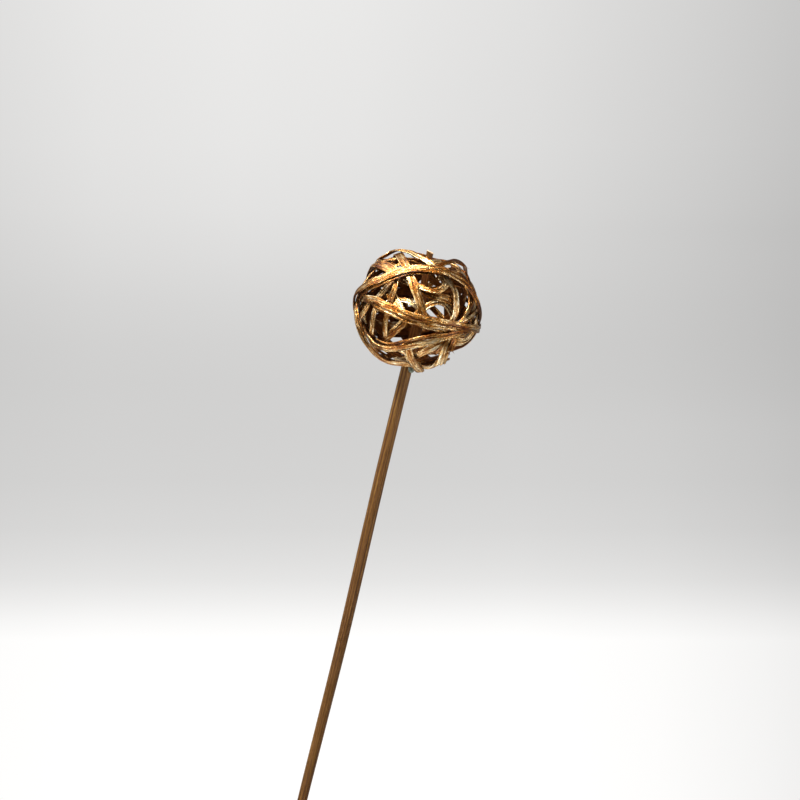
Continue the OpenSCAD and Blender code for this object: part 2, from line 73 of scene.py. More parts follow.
# Each strip: name, width and stations along it, each station in one of two forms:
# - "longitude,latitude,height" in degrees from the front and percent of the ball's radius
# - "f" or "b" for the front or back half of the ball, then "right,up,height" in ball radii, as
#   seen from the front
# Either form may end with a twist in degrees.
STRIPS = [
    ("upper_front", WIDE,
     "-112,-16,94 -102,-6,96 -93,4,98 -84,13,100,10 f-.92,.31,1,10 f-.75,.42,1 f-.55,.505,1 "
     "f-.35,.585,1 f-.15,.64,1 f.05,.645,1.01 f.25,.635,1.01 f.45,.59,1.01 f.62,.51,1.01 "
     "f.76,.4,1.01 f.87,.25,1.01 f.94,.09,1 80,-4,99 92,-16,98 114,-29,98 146,-38,98 180,-40,97 "
     "208,-36,95 232,-28,93"),
    ("upper_under", PLAIN,
     "-120,-20,92 -106,-10,93 -94,0,94 -80,10,95 f-.86,.29,.965 f-.7,.37,.965 f-.5,.455,.965 "
     "f-.3,.54,.965 f-.12,.59,.965 f.1,.6,.965 f.3,.6,.965 f.48,.57,.955 48,38,95 66,33,95 "
     "86,22,95 112,6,95 144,-10,95 180,-22,95 216,-24,94 240,-22,92"),
    ("middle_upper", PLAIN,
     "-112,10,92 -94,12,93 f-.89,.19,.94 f-.8,.185,.955 f-.7,.165,.965 f-.6,.13,.975 f-.5,.08,.98 "
     "f-.35,.01,.985 f-.2,-.05,.99 f-.05,-.1,.99 f.1,-.13,.99 f.25,-.16,.99 f.4,-.19,.99 "
     "f.56,-.225,.99 f.72,-.26,.99 f.87,-.28,.99 84,-17,99 104,-13,98 128,-3,97 154,8,97 184,15,96 "
     "214,17,95 240,14,93"),
    ("middle_lower", PLAIN,
     "f-.68,.12,.9 f-.62,.07,.92 f-.5,0,.95 f-.35,-.07,.965 f-.2,-.13,.97 f-.05,-.17,.97 "
     "f.1,-.2,.97 f.26,-.23,.97 f.44,-.27,.97 f.6,-.3,.97 f.76,-.32,.96 76,-20,96 98,-15,96 "
     "124,-2,95 150,11,95 180,22,94 208,28,93 236,27,92 258,20,91"),
    ("middle_third", PLAIN,
     "f-.5,.3,.8 f-.38,.14,.84 f-.24,-.03,.88 f-.1,-.15,.91 f.06,-.225,.93 f.24,-.28,.94 "
     "f.42,-.32,.945 f.6,-.36,.95 f.76,-.38,.955 f.88,-.36,.955 90,-18,95 112,-7,94 134,8,94 "
     "154,25,93 174,43,92 200,56,91 235,62,91 270,57,90"),
    ("lower_edge", NARROW,
     "-70,-24,90 f-.66,-.47,.92 f-.52,-.53,.955 f-.38,-.545,.98 f-.22,-.5,1,-20 f-.05,-.455,1,-20 "
     "f.12,-.43,1 f.28,-.405,1 f.44,-.38,.99 f.6,-.345,.98 f.74,-.33,.97 66,-18,96 88,-8,95 "
     "112,5,95 138,15,94 168,19,94 198,15,94 228,6,94 252,-5,93 274,-16,92"),
    ("lower_front", PLAIN,
     "-88,-18,91 f-.76,-.42,.93 f-.66,-.53,.955 f-.53,-.59,.975 f-.38,-.605,.985 f-.2,-.585,.985 "
     "f0,-.54,.98 f.18,-.5,.98 f.35,-.455,.98 f.52,-.415,.98 f.68,-.38,.975 f.82,-.36,.965 "
     "76,-16,95 98,-12,94 124,-15,94 152,-15,94 182,-15,93 212,-14,93 242,-14,92 262,-17,91"),
    ("lower_second", WIDE,
     "f-.34,-.76,.86 f-.18,-.76,.88 f-.03,-.715,.91 f.12,-.65,.93 f.27,-.58,.94 f.4,-.51,.94 "
     "f.53,-.43,.93 50,-16,91 66,-6,91 84,6,92 104,17,92 128,22,92 154,22,92 180,20,91 204,20,91 "
     "226,12,91 242,-2,91 250,-20,90 254,-38,89"),
    ("stem_cover", WIDE,
     "f-.215,-.5,.9 f-.19,-.55,.935 f-.16,-.62,.965 f-.125,-.72,.98 f-.08,-.82,.985 "
     "f-.01,-.905,.985 f.04,-.955,.985"),
    ("left_rim", WIDE,
     "-196,58,91 -160,58,92 -132,50,93 -113,37,94 -102,22,95 -94,10,97 f-.97,.03,.99,8 "
     "f-.95,-.12,1,15 f-.915,-.26,1,15 f-.86,-.4,1,12 f-.785,-.53,1,10 f-.685,-.66,1,8 "
     "f-.575,-.75,.995 f-.46,-.81,.98 f-.33,-.835,.965 f-.19,-.845,.955 f-.05,-.86,.955 "
     "f.1,-.905,.965 f.25,-.885,.97 f.36,-.79,.965 f.42,-.65,.95 f.5,-.53,.94 f.6,-.42,.92 "
     "f.7,-.34,.9 62,-14,88"),
    ("left_upright", PLAIN,
     "f-.6,.15,.89 f-.63,.1,.9 f-.66,.03,.91 f-.685,-.08,.915 f-.705,-.2,.92 f-.72,-.33,.92 "
     "f-.74,-.46,.92 -76,-38,92 -100,-50,93 -132,-50,94 -156,-44,94 -178,-34,94 -200,-20,94 "
     "-216,-3,94 -227,15,94 -238,33,94 -256,50,94"),
    ("left_shoulder", BROAD,
     "f-.33,.56,.92 f-.42,.64,.96 f-.53,.7,.985 f-.63,.735,1 -92,47,99 -108,38,97 -124,29,96 "
     "-138,17,96 -150,3,96 -162,-13,96 -173,-30,96 -184,-46,96 -200,-60,94 -232,-71,92"),
    ("left_diagonal", PLAIN,
     "f-.72,.1,.88 f-.62,.22,.87 f-.52,.32,.86 f-.42,.42,.85 f-.3,.52,.85 f-.16,.61,.86 "
     "f.02,.68,.87 20,58,88 55,60,88"),
    ("crown", PLAIN,
     "-172,14,94 -160,30,96 -148,42,98 -134,50,99,5 b-.59,.785,.995,10 b-.49,.855,.99,16 "
     "b-.39,.91,.995,18 f-.29,.94,.99,15 f-.19,.93,.97,5 f-.1,.905,.97 f0,.86,.97 f.09,.81,.975 "
     "f.18,.76,.985 f.27,.695,.98 f.36,.6,.94 f.44,.51,.91 f.53,.41,.9 f.585,.3,.9 f.61,.18,.9 "
     "f.615,.06,.9 f.6,-.05,.9 f.57,-.15,.9 f.5,-.25,.9"),
    ("centre_steep", WIDE,
     "-105,66,88 f-.31,.89,.945 f-.26,.82,.95 f-.2,.74,.95 f-.16,.65,.94 f-.124,.56,.93 "
     "f-.09,.46,.92 f-.05,.34,.91 f-.005,.23,.9 f.03,.12,.9 f.06,.01,.9 f.09,-.1,.89 f.115,-.2,.88"),
    ("inner_left", SLIM,
     "f-.31,.52,.9 f-.34,.42,.895 f-.37,.31,.89 f-.405,.2,.88 f-.43,.09,.87 f-.455,-.02,.86 "
     "f-.49,-.13,.86 f-.505,-.26,.86 f-.51,-.38,.865 f-.49,-.5,.87 f-.44,-.61,.87"),
    ("inner_short", NARROW,
     "f-.4,.32,.78 f-.345,.22,.8 f-.29,.12,.82 f-.23,.02,.84 f-.16,-.1,.85 f-.06,-.24,.85"),
    ("inner_level", SLIM,
     "f-.64,.02,.79 f-.52,.1,.77 f-.34,.16,.75,20 f-.2,.15,.74,30 f-.08,.1,.74,30 f.04,0,.75,20 "
     "f.16,-.12,.78 f.28,-.26,.82"),
    ("right_shoulder", SLIM,
     "f.14,.66,.94 f.24,.69,.955 f.34,.72,.98 f.44,.75,1 f.54,.775,1.01 66,50,101,-30 "
     "78,48,101,-30 84,43,101,-20 f.745,.59,1 f.77,.52,.98 f.79,.44,.96 f.8,.36,.94"),
    ("right_narrow", FINE,
     "112,58,88 88,54,90 f.655,.67,.945 f.69,.56,.95 f.75,.44,.95 f.8,.32,.95 f.82,.2,.95 "
     "f.81,.06,.955 f.775,-.03,.965 f.715,-.12,.975 f.65,-.2,.98 f.59,-.26,.97"),
    ("right_rim", NARROW,
     "128,38,91 116,26,92 105,14,94 95,5,96 86,0,98 f.935,-.045,.99 f.87,-.105,1 f.79,-.16,1 "
     "f.7,-.2,.985 f.62,-.225,.95 f.54,-.24,.92"),
    ("right_knob", WIDE,
     "f.42,-.42,.89 f.52,-.46,.92 f.62,-.5,.945 f.72,-.51,.965 f.8,-.45,.98 f.86,-.36,.985 "
     "f.91,-.25,.985 f.935,-.13,.985 92,0,98 112,12,97 132,29,96 156,41,96 184,45,95 214,40,94 "
     "240,28,93"),
    ("curl", PLAIN,
     "f-.22,.46,.76 f-.1,.42,.79 f.02,.375,.82 f.12,.325,.84,15 f.23,.295,.855,20 f.34,.305,.86,15 "
     "f.42,.36,.865,5 f.44,.435,.865 f.4,.49,.86 f.33,.515,.85"),
    ("inner_wide", WIDE,
     "f.08,.32,.8 f.19,.25,.805 f.3,.215,.81 f.42,.19,.82 f.54,.12,.84 f.64,.02,.86"),
    ("bottom_fan", BROAD,
     "f.68,-.32,.9 f.6,-.41,.935 f.52,-.5,.96 f.465,-.6,.975 f.43,-.7,.98 f.395,-.79,.985 "
     "f.35,-.86,.99"),
    ("back_diagonal", SLIM,
     "-66,50,91 -92,50,93 -120,44,95 b-.36,.56,.96 b-.15,.4,.96 b.05,.23,.96 b.22,.06,.96 "
     "b.42,-.13,.96 b.6,-.28,.96 b.75,-.36,.95 98,-20,93 86,-14,91"),
    ("back_slant", SLIM,
     "b-.7,-.3,.96 b-.5,-.12,.96 b-.3,.04,.97 b-.08,.2,.97 b.155,.38,.97 b.3,.49,.97 b.45,.58,.96 "
     "136,42,95 112,44,94 94,40,92"),
    ("back_upright", PLAIN,
     "172,70,89 b.38,.55,.92 b.44,.38,.92 b.47,.2,.92 b.485,.02,.92 b.485,-.16,.92 b.46,-.34,.92 "
     "b.4,-.52,.92 b.26,-.68,.92"),
    ("back_belt", WIDE,
     "96,34,89 112,20,90 130,5,90 146,-9,90 162,-17,90 182,-21,90 204,-22,89 224,-20,89 242,-10,89 "
     "256,4,89 268,20,89"),
    ("back_top", PLAIN,
     "214,20,90 208,36,90 196,50,90 172,58,89 146,56,88 126,47,88 110,34,88 100,18,88 96,0,88 "
     "98,-18,88 106,-36,86 124,-50,84"),
    ("back_low", WIDE,
     "112,-50,85 132,-58,88 160,-62,91 190,-60,93 214,-52,93 232,-40,93 247,-25,92 260,-8,91 "
     "272,10,90"),
    ("back_left", PLAIN,
     "-84,32,89 -98,20,90 -110,8,91 -121,-6,91 -132,-20,91 -142,-34,91 -154,-47,90 -168,-58,89 "
     "-196,-70,88"),
    ("left_outer", SLIM,
     "-70,62,93 -84,52,94 f-.71,.61,.945 f-.785,.52,.95 f-.86,.42,.965 -84,18,97 -92,6,95 "
     "-96,-8,94 -100,-24,93 -106,-40,92 -116,-54,90"),
    ("left_slant", SLIM,
     "f-.7,.22,.88 f-.745,.13,.9 f-.79,.04,.92 f-.84,-.04,.94 f-.89,-.12,.95 -90,-14,95 "
     "-100,-20,94 -112,-28,93 -126,-36,92"),
    ("inner_slant", NARROW,
     "f0,-.06,.84 f-.1,-.14,.85 f-.2,-.22,.86 f-.31,-.315,.87 f-.42,-.41,.88 f-.54,-.5,.89 "
     "f-.66,-.56,.9"),
    ("top_short", NARROW,
     "-112,50,92 f-.6,.755,.97 f-.51,.785,.96 f-.42,.805,.95 f-.33,.825,.94"),
    ("back_crest", PLAIN,
     "-178,66,92 b-.06,.88,.94 b.1,.85,.95 b.22,.8,.94 b.33,.77,.94 b.46,.75,.94 b.58,.7,.95 "
     "104,40,95 102,28,94 106,12,93 114,-6,92 124,-24,90"),
    ("back_cross", WIDE,
     "-78,-10,88 b-.92,-.02,.94 b-.7,.03,.95 b-.5,.02,.95 b-.3,0,.95 b-.1,0,.95 b.1,.09,.95 "
     "b.3,.23,.945 b.5,.37,.94 b.68,.5,.94 88,38,94 72,42,92"),
    ("back_steep", WIDE,
     "-92,72,88 -138,68,89 b-.12,.66,.92 b-.2,.5,.93 b-.23,.34,.93 b-.23,.17,.93 b-.21,0,.93 "
     "b-.18,-.17,.93 b-.12,-.34,.93 b-.04,-.5,.925 b.06,-.64,.92 b.12,-.78,.92"),
    ("back_low_belt", WIDE,
     "78,-8,89 92,-17,92 b.78,-.38,.95 b.58,-.43,.955 b.38,-.45,.955 b.18,-.43,.955 b-.02,-.39,.95 "
     "b-.22,-.33,.945 b-.42,-.27,.94 b-.62,-.2,.935 b-.8,-.1,.93 -92,4,92 -84,14,91"),
    ("back_foot", PLAIN,
     "-84,-22,91 -98,-30,92 b-.71,-.6,.95 b-.57,-.71,.95 b-.4,-.78,.95 b-.2,-.84,.95 b0,-.87,.95 "
     "b.16,-.84,.93 100,-58,91"),
    ("back_rise", PLAIN,
     "b-.2,-.72,.9 b-.04,-.64,.91 b.12,-.55,.91 b.28,-.44,.91 b.43,-.31,.91 b.56,-.17,.91 "
     "b.67,-.02,.91 b.74,.15,.91 b.76,.33,.91 104,38,90"),
    ("inner_low", SLIM,
     "f-.06,-.1,.78 f.05,-.01,.79 f.15,.06,.8 f.25,.11,.805 f.35,.13,.81 f.44,.08,.82 "
     "f.52,-.02,.84 f.57,-.14,.86"),
    ("back_left_high", WIDE,
     "-74,-2,88 -86,8,89 b-.85,.2,.9 b-.73,.31,.9 b-.62,.42,.9 b-.54,.54,.9 b-.46,.66,.89 "
     "b-.32,.76,.88 -152,66,87 -176,62,86"),
    ("bottom_frayed", WIDE,
     "f.7,-.33,.91 f.63,-.42,.945 f.565,-.51,.965 f.52,-.6,.985 f.5,-.68,.995"),
    ("inner_thin", FINE,
     "f-.14,-.06,.82 f-.23,-.14,.83 f-.33,-.24,.84 f-.43,-.34,.84 f-.54,-.44,.84"),
    ("top_bit", FINE,
     "f-.47,.64,.92 f-.37,.675,.92 f-.28,.71,.92 f-.2,.72,.91"),
    ("back_left_cross", WIDE,
     "b-.92,-.28,.965 b-.78,-.21,.95 b-.61,-.1,.945 b-.45,.02,.94 b-.3,.15,.935 b-.16,.3,.93 "
     "b-.09,.44,.93 b0,.53,.93 b.13,.565,.93 b.28,.57,.93"),
]

# In the front view a station lies at least this many ball radii inside the rim of its own height
JUST_INSIDE_RIM = 0.002
RNG_SEED = 41
STEM_SEED = 900


def to_frame(points):
    """Points of the winding, in millimetres round the ball's centre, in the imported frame."""
    p = np.asarray(points, float)
    c, s = math.cos(TILT), math.sin(TILT)
    x = p[..., 0] * c - p[..., 2] * s - BALL_OFFSET
    z = p[..., 0] * s + p[..., 2] * c + BALL_Z
    return np.stack([x, p[..., 1], z], -1) * MM


def unit(v):
    """The vectors of v at length one."""
    return v / np.maximum(np.linalg.norm(v, axis=-1, keepdims=True), 1e-9)


def station(word):
    """Longitude, latitude, height in percent of the radius, and twist of one station.

    A station given by its place seen from the front is rounded to whole degrees and percent.
    """
    half = word[0] if word[0] in "fb" else ""
    values = [float(n) for n in word[len(half):].split(",")]
    a, b, height = values[:3]
    twist = values[3] if len(values) > 3 else 0.0
    if not half:
        return a, b, height, twist
    height = max(height, math.hypot(a, b) + JUST_INSIDE_RIM)
    lat = math.asin(b / height)
    lon = math.degrees(math.asin(max(-1, min(1, a / (height * math.cos(lat))))))
    if half == "b":
        lon = math.copysign(180, a) - lon
    return round(lon), round(math.degrees(lat)), round(height * 100), twist


def stations(text):
    """The stations of one strip as rows of x, y, z and twist."""
    rows = []
    for word in text.split():
        lon, lat, height, twist = station(word)
        lon, lat, r = math.radians(lon), math.radians(lat), BALL_R * height / 100
        rows.append([r * math.cos(lat) * math.sin(lon), -r * math.cos(lat) * math.cos(lon),
                     r * math.sin(lat), twist])
    return np.array(rows)


def smooth_line(q, per_span=12):
    """A smooth curve through the rows of q."""
    n = len(q)
    out = []
    for i in range(n - 1):
        a, b, c, d = q[max(i - 1, 0)], q[i], q[i + 1], q[min(i + 2, n - 1)]
        for k in range(per_span):
            t = k / per_span
            out.append(0.5 * (2 * b + (c - a) * t + (2 * a - 5 * b + 4 * c - d) * t * t
                              + (3 * b - a - 3 * c + d) * t ** 3))
    out.append(q[-1])
    return np.array(out)


def resample(line, step):
    """The line at even distances of about step, with the distance of each sample."""
    gaps = np.linalg.norm(np.diff(line[:, :3], axis=0), axis=1)
    at = np.concatenate([[0.0], np.cumsum(gaps)])
    n = max(int(round(at[-1] / step)), 4)
    s = np.linspace(0, at[-1], n + 1)
    return s, np.stack([np.interp(s, at, line[:, k]) for k in range(line.shape[1])], -1)


def frames(line):
    """Side and outward directions along a line on the ball, turned by its twist."""
    p = line[:, :3]
    along = unit(np.gradient(p, axis=0))
    side = unit(np.cross(along, p))
    out = np.cross(side, along)
    c, s = np.cos(np.radians(line[:, 3:4])), np.sin(np.radians(line[:, 3:4]))
    return side * c + out * s, out * c - side * s


# --- Winding: strips are eased apart where they cross, so each lies over or under the other

SETTLE_STEP = 0.7
# Each strip is probed along this many lines between its edges, as parts of its width
PROBES = np.linspace(-0.46, 0.46, 5)
# Probes closer than this on the ball touch, and the strips' middles then need this gap
CONTACT = 0.42
GAP = 0.53
# Touching samples more than this many steps apart belong to different crossings
CROSSING_BREAK = 4
# The outer strip's share of the easing; the inner strip takes the rest
OUTWARD = 0.3
EASING_ROUNDS = 260
EASING_RATE = 0.35
EASING_DECAY = 0.997
LARGEST_SHIFT = 0.75
# A crossing that still lacks more than this on average is counted in the printed line
STILL_CLOSE = 0.15


def settle(lines, widths):
    """Radial shifts per sample that leave a strip's thickness between crossing strips."""
    spots, owner, index, height = [], [], [], []
    start = 0
    for k, (line, width) in enumerate(zip(lines, widths)):
        side, _ = frames(line)
        for a in PROBES:
            q = line[:, :3] + side * a * width
            r = np.linalg.norm(q, axis=1)
            spots.append(q / r[:, None] * BALL_R)
            owner.append(np.full(len(q), k))
            index.append(start + np.arange(len(q)))
            height.append(r)
        start += len(line)
    spots, owner, index, height = map(np.concatenate, (spots, owner, index, height))
    tree = kdtree.KDTree(len(spots))
    for i, co in enumerate(spots):
        tree.insert(co, i)
    tree.balance()
    pairs = [(i, j) for i, co in enumerate(spots) for _, j, _ in tree.find_range(co, CONTACT)
             if owner[i] < owner[j]]
    i, j = np.array(pairs).T
    a, b, diff = index[i], index[j], height[i] - height[j]
    key = owner[i] * len(lines) + owner[j]
    order = np.lexsort((a, key))
    a, b, diff, key = a[order], b[order], diff[order], key[order]
    cut = np.flatnonzero((np.diff(key) != 0) | (np.diff(a) > CROSSING_BREAK)) + 1
    group = np.zeros(len(a), int)
    group[cut] = 1
    group = np.cumsum(group)
    mean = np.bincount(group, diff) / np.bincount(group)
    over = np.where(mean >= 0, 1.0, -1.0)[group]
    shift = np.zeros(start)
    ends = np.cumsum([len(line) for line in lines])
    first, last = np.concatenate([[0], ends[:-1]]), ends - 1
    count = np.maximum(np.bincount(a, minlength=start) + np.bincount(b, minlength=start), 1)
    for _ in range(EASING_ROUNDS):
        need = np.maximum(GAP - over * (diff + shift[a] - shift[b]), 0)
        up_a = np.where(over > 0, OUTWARD, 1 - OUTWARD)
        push = (np.bincount(a, need * over * up_a, start)
                - np.bincount(b, need * over * (1 - up_a), start)) / np.sqrt(count)
        shift = np.clip(shift + EASING_RATE * push, -LARGEST_SHIFT, LARGEST_SHIFT)
        shift *= EASING_DECAY
        left, right = np.roll(shift, 1), np.roll(shift, -1)
        left[first], right[last] = shift[first], shift[last]
        shift = 0.5 * shift + 0.25 * (left + right)
    need = GAP - over * (diff + shift[a] - shift[b])
    lacking = np.bincount(group, np.maximum(need, 0)) / np.bincount(group)
    print("winding: crossings", len(mean), "closer than a strip",
          int((lacking > STILL_CLOSE).sum()), "largest shift",
          round(float(np.abs(shift).max()), 2))
    return [shift[f:e] for f, e in zip(first, ends)]


# --- Strips

RING_STEP = 0.33
STRIP_T = 0.46
# How unevenly a cut end runs
CLEAN_END = 0.12
# A strip has a lengthwise groove for about every half millimetre of width
GROOVE_EVERY = 0.5
GROOVE_DEPTH = 0.09
DEEPEST_GROOVE = 0.2
# Fine ridges of fibre on the outer and the inner face: length, width and height
OUTER_FIBRES = (6.0, 0.24, 0.05)
INNER_FIBRES = (7.0, 0.26, 0.03)
# How much thinner the eased edges are, and how suddenly
EDGE_THINNING = 0.62
EDGE_POWER = 10
CROWN = 0.03


def wander(rng, s, step, amount):
    """A smooth random run of values along s, with a new value about every step."""
    n = int(s[-1] / step) + 4
    knots = rng.normal(0, amount, n)
    x = s / step + 1
    i = np.minimum(x.astype(int), n - 2)
    t = x - i
    t = t * t * (3 - 2 * t)
    return knots[i] * (1 - t) + knots[i + 1] * t


def fibre_field(rng, s, y, along, across, amount):
    """Long narrow ridges: smooth noise over distance s and cross position y."""
    n, m = int(s.max() / along) + 4, int((y.max() - y.min()) / across) + 4
    grid = rng.normal(0, amount, (n, m))
    x, v = np.clip(s / along + 1, 0, n - 2), np.clip((y - y.min()) / across + 1, 0, m - 2)
    i, j = x.astype(int), v.astype(int)
    a, b = x - i, v - j
    a, b = a * a * (3 - 2 * a), b * b * (3 - 2 * b)
    return ((grid[i, j] * (1 - a) + grid[i + 1, j] * a) * (1 - b)
            + (grid[i, j + 1] * (1 - a) + grid[i + 1, j + 1] * a) * b)


def columns(width):
    """Cross positions from -1 to 1, closer together at the eased edges, more on wide strips."""
    n = 9 if width < SLIM else 11 if width < WIDE else 13
    inner = np.linspace(-0.86, 0.86, n)
    return np.concatenate([[-1.0, -0.95], inner, [0.95, 1.0]])


def make_object(name, verts, faces, uv, marks, material):
    """A smooth mesh object; marks are named values per point for the material."""
    mesh = bpy.data.meshes.new(name)
    mesh.from_pydata(verts.tolist(), [], faces)
    mesh.validate()
    mesh.polygons.foreach_set("use_smooth", [True] * len(mesh.polygons))
    layer = mesh.uv_layers.new(name="grain")
    corners = np.zeros(len(mesh.loops), int)
    mesh.loops.foreach_get("vertex_index", corners)
    layer.data.foreach_set("uv", uv[corners].astype(np.float32).ravel())
    for label, values in marks.items():
        at = mesh.attributes.new(label, "FLOAT", "POINT")
        at.data.foreach_set("value", np.asarray(values, np.float32))
    mesh.materials.append(material)
    obj = bpy.data.objects.new(name, mesh)
    bpy.context.scene.collection.objects.link(obj)
    return obj


def strip_surface(rng, line, width, ragged):
    """One strip as a closed grid: points, faces, grain coordinates, relief and inner side.

    The strip's last end is torn by up to ragged millimetres, and its first end is nearly clean.
    """
    s, path = resample(line, RING_STEP)
    length = s[-1]
    side, out = frames(path)
    t = columns(width)
    n, k = len(s), len(t)
    # The ends are cut or torn a little unevenly across the width
    tear = np.array([[CLEAN_END], [ragged]]) * np.stack([
        np.interp(t, np.linspace(-1, 1, 5), rng.uniform(-1, 1, 5)) + rng.uniform(-0.15, 0.15, k)
        for _ in range(2)])
    u = np.linspace(0, 1, n)[:, None]
    at = (0 - tear[0]) * (1 - u) + (length + tear[1]) * u
    inside = np.clip(at, 0, length)
    beyond = at - inside
    pick = lambda v: np.stack([np.interp(inside, s, v[:, c]) for c in range(3)], -1)
    centre, sd, ot = pick(path[:, :3]), pick(side), pick(out)
    along = pick(unit(np.gradient(path[:, :3], axis=0)))
    wide = 1 + wander(rng, s, 7.0, 0.05)
    wide_at = np.interp(inside, s, wide)
    left = np.interp(inside, s, wander(rng, s, 2.6, 0.045) + wander(rng, s, 0.9, 0.018))
    right = np.interp(inside, s, wander(rng, s, 2.6, 0.045) + wander(rng, s, 0.9, 0.018))
    edge = np.where(t[None, :] < 0, left, right) * np.abs(t[None, :]) ** 2
    y = (t[None, :] * wide_at + edge * np.sign(t[None, :])) * width / 2
    body = 1 - EDGE_THINNING * np.abs(t[None, :]) ** EDGE_POWER
    thick = STRIP_T / 2 * (1 + np.interp(inside, s, wander(rng, s, 9.0, 0.08)))
    grooves = np.zeros_like(y)
    for _ in range(max(2, int(round(width / GROOVE_EVERY)))):
        place = rng.uniform(-0.78, 0.78) * width / 2 + wander(rng, s, 14.0, 0.06 * width)
        depth = np.clip(GROOVE_DEPTH + wander(rng, s, 8.0, 0.07), 0, DEEPEST_GROOVE)
        gap = (y - np.interp(inside, s, place)) / rng.uniform(0.07, 0.12)
        grooves -= np.interp(inside, s, depth) * np.exp(-gap * gap)
    fibres = fibre_field(rng, inside, y, *OUTER_FIBRES)
    top = thick * body + CROWN * (1 - t[None, :] ** 2) + (grooves + fibres) * body
    under = -thick * body + fibre_field(rng, inside, y, *INNER_FIBRES) * body
    sway = np.interp(inside, s, wander(rng, s, 5.0, 0.035))
    base = centre + along * beyond[..., None]
    upper = base + sd * y[..., None] + ot * (top + sway)[..., None]
    lower = base + sd * y[..., None] + ot * (under + sway)[..., None]
    verts = np.concatenate([upper.reshape(-1, 3), lower.reshape(-1, 3)])
    relief = np.concatenate([((grooves + fibres) / 0.1).ravel(), np.full(n * k, -0.35)])
    uv = np.stack([at, y], -1).reshape(-1, 2)
    uv = np.concatenate([uv, uv + [0.0, 5.0]])
    up = np.arange(n * k).reshape(n, k)
    low = up + n * k
    faces = []
    for i in range(n - 1):
        for j in range(k - 1):
            faces.append((up[i, j], up[i, j + 1], up[i + 1, j + 1], up[i + 1, j]))
            faces.append((low[i, j], low[i + 1, j], low[i + 1, j + 1], low[i, j + 1]))
        faces.append((up[i, 0], up[i + 1, 0], low[i + 1, 0], low[i, 0]))
        faces.append((up[i, k - 1], low[i, k - 1], low[i + 1, k - 1], up[i + 1, k - 1]))
    for j in range(k - 1):
        faces.append((up[0, j], low[0, j], low[0, j + 1], up[0, j + 1]))
        faces.append((up[n - 1, j], up[n - 1, j + 1], low[n - 1, j + 1], low[n - 1, j]))
    return verts, faces, uv, relief, np.repeat([0.0, 1.0], n * k)


def splinter(rng, root, along, side, out, length, thick):
    """A thin torn fibre: a tapering curved prism that starts inside its strip."""
    n, k = 9, 5
    u = np.linspace(0, 1, n)[:, None]
    bend, lift = rng.uniform(-0.5, 0.5), rng.uniform(0.1, 0.6)
    line = (root + along * length * u + side * bend * length * u ** 2
            + out * lift * length * u ** 2)
    r = thick * (1 - 0.85 * u[:, 0]) / 2
    turn = np.linspace(0, 2 * math.pi, k, endpoint=False)
    ring = (line[:, None] + side * (np.cos(turn)[None, :, None] * r[:, None, None])
            + out * (np.sin(turn)[None, :, None] * r[:, None, None] * 0.6))
    idx = np.arange(n * k).reshape(n, k)
    faces = [(idx[i, j], idx[i, (j + 1) % k], idx[i + 1, (j + 1) % k], idx[i + 1, j])
             for i in range(n - 1) for j in range(k)]
    faces += [tuple(idx[0, ::-1]), tuple(idx[-1])]
    uv = np.stack([np.repeat(u[:, 0] * length, k), np.tile(turn / 6, n)], -1)
    return ring.reshape(-1, 3), faces, uv, np.full(n * k, 0.2), np.full(n * k, 0.4)


def join(parts):
    """All parts of a piece as one: points, faces, grain coordinates, relief and inner side."""
    faces, base = [], 0
    for part in parts:
        faces += [tuple(int(q) + base for q in face) for face in part[1]]
        base += len(part[0])
    verts, uv, relief, inner = (np.concatenate([part[k] for part in parts]) for k in (0, 2, 3, 4))
    return verts, faces, uv, relief, inner


# --- Stem and glue

# The whittled end: its length, where its flat starts and is full, and the flat's distance from
# the stem's axis
WHITTLE_LENGTH = 13.0
FLAT_START = 0.8
FLAT_FULL = 3.2
FLAT_X = 0.3
# The tip leans to the left and is cut at a slant to the side and to the front
TIP_SHIFT = 0.6
TIP_SLANT = 0.4
TIP_NOD = 0.3
# Two long grooves on the front of the stem, at its middle and left of it, as angles round it; the
# darkening along them is painted shade for the dark reflection down the stem's front
FRONT_SHADE_GROOVES = (-2.1, -1.62)
LINE_WIDTH = 0.13


